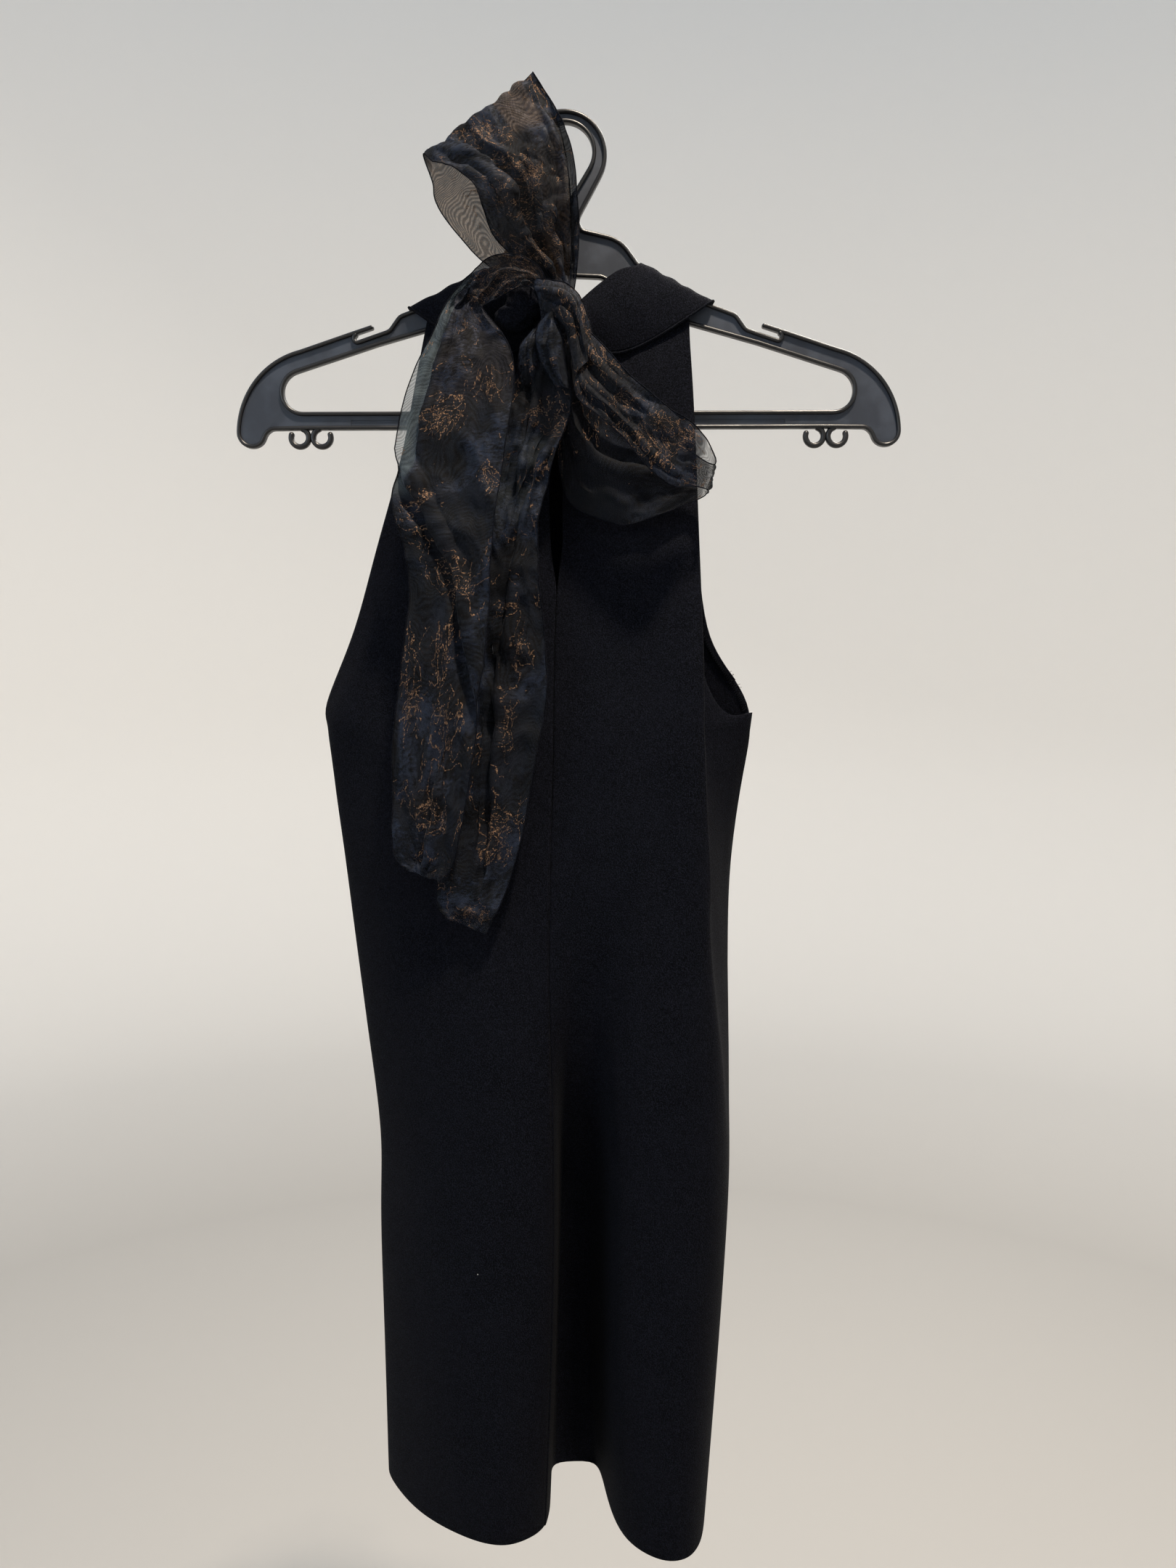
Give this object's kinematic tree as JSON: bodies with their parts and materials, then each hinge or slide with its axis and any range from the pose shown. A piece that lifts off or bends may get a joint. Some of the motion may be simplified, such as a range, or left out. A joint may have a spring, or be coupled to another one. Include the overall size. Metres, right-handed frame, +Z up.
{
  "type": "cocktail dress on a hanger",
  "caption": "Black sleeveless cocktail dress with a folded collar and a soft organza bow with two long tails, hanging on a moulded clothes hanger.",
  "frame": {"origin": "inside top of the hanger's hook, in the hanger's middle plane, where it rests on a rail or peg", "axes": "+Z up, +X to the right seen from the front of the dress, +Y towards the back of the dress and the wall behind it"},
  "size_m": [0.4176, 0.1064, 0.9093],
  "materials": {
    "crepe": "matte black wool-like crepe",
    "organza": "sheer black organza with fine copper threads",
    "plastic": "satin black moulded plastic"
  },
  "bodies": {
    "root": {"hanger": "plastic", "front_left": "crepe", "front_right": "crepe", "back": "crepe", "armhole_hem": "crepe", "collar": "crepe", "scarf_knot": "organza", "scarf_upper_loop": "organza", "scarf_right_loop": "organza", "scarf_left_tail": "organza", "scarf_centre_tail": "organza"}
  },
  "joints": []
}
